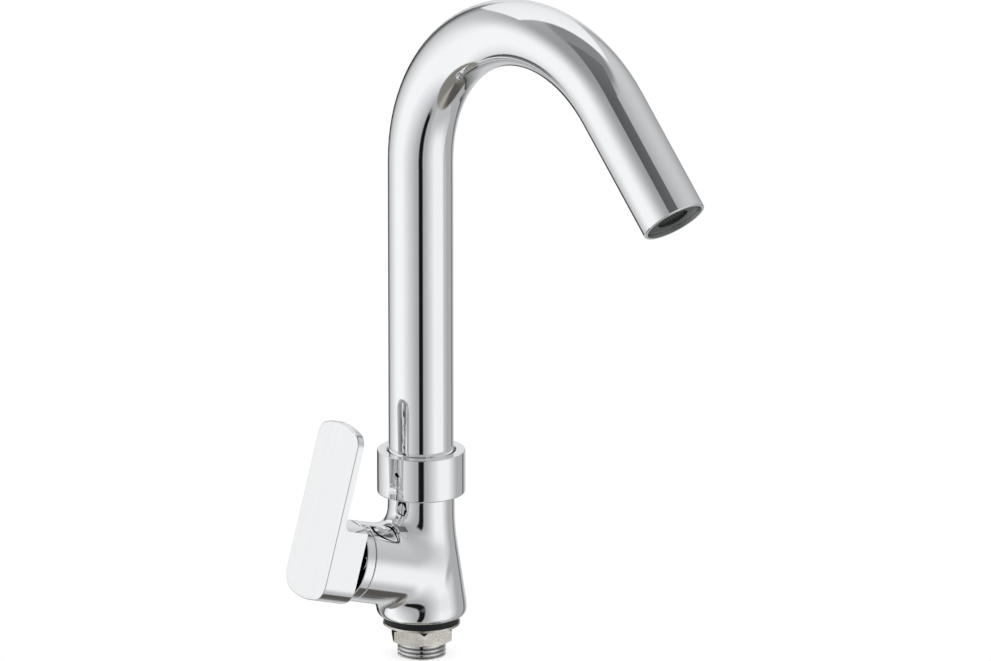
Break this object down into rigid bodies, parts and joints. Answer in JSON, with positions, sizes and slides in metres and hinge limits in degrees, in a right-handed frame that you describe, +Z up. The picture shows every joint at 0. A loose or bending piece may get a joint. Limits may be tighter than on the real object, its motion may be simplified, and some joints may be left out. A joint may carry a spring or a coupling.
{
  "type": "swan neck tap",
  "caption": "Single-inlet swan neck tap with a swivelling arched spout, a quarter-turn lever on an inclined side branch, a union collar and a threaded shank with its deck nut.",
  "frame": {"origin": "on the tap's upright axis, at the deck face that the gasket lies on", "axes": "+Z up along the upright axis, -X towards the lever, -Y to the front over the sink"},
  "size_m": [0.1045, 0.1812, 0.301],
  "materials": {
    "polished_chrome": "polished",
    "lever_chrome": "polished sides, satin front",
    "shank_chrome": "plated thread",
    "blasted_nickel": "sand-blasted nickel",
    "black_rubber": "matt",
    "plain_brass": "turned",
    "plain_steel": "plain",
    "dark_acetal": "moulded",
    "disc_ceramic": "lapped ceramic",
    "aerator_plastic": "moulded",
    "grey_plastic": "moulded"
  },
  "bodies": {
    "base": {"tap_body": "polished_chrome", "union_collar": "polished_chrome", "cover_ring": "polished_chrome", "inlet_shank": "shank_chrome", "back_nut": "blasted_nickel", "deck_washer": "blasted_nickel", "deck_gasket": "black_rubber", "shank_seal": "black_rubber", "seat_washer": "black_rubber", "headwork": "plain_brass", "fixed_disc": "disc_ceramic"},
    "spout": {"spout_tube": "polished_chrome", "spout_spigot": "plain_brass", "spout_ring_lower": "black_rubber", "spout_ring_upper": "black_rubber", "slip_ring_lower": "dark_acetal", "slip_ring_upper": "dark_acetal", "outlet_bush": "plain_brass", "aerator_shell": "aerator_plastic", "outlet_screen": "aerator_plastic", "jet_former": "aerator_plastic", "aerator_washer": "black_rubber"},
    "lever": {"lever_handle": "lever_chrome", "spindle": "plain_brass", "spindle_ring": "black_rubber", "turning_disc": "disc_ceramic", "grub_screw": "plain_steel", "grub_plug": "grey_plastic"}
  },
  "joints": [
    {"name": "spout_swivel", "type": "hinge", "parent": "base", "child": "spout", "pos_m": [0, 0, 0.07], "axis": [0, 0, 1], "continuous": true},
    {"name": "lever_turn", "type": "hinge", "parent": "base", "child": "lever", "pos_m": [-0.04336, 0, 0.03483], "axis": [0.9636, 0, -0.2672], "range_deg": [0, 90]}
  ]
}
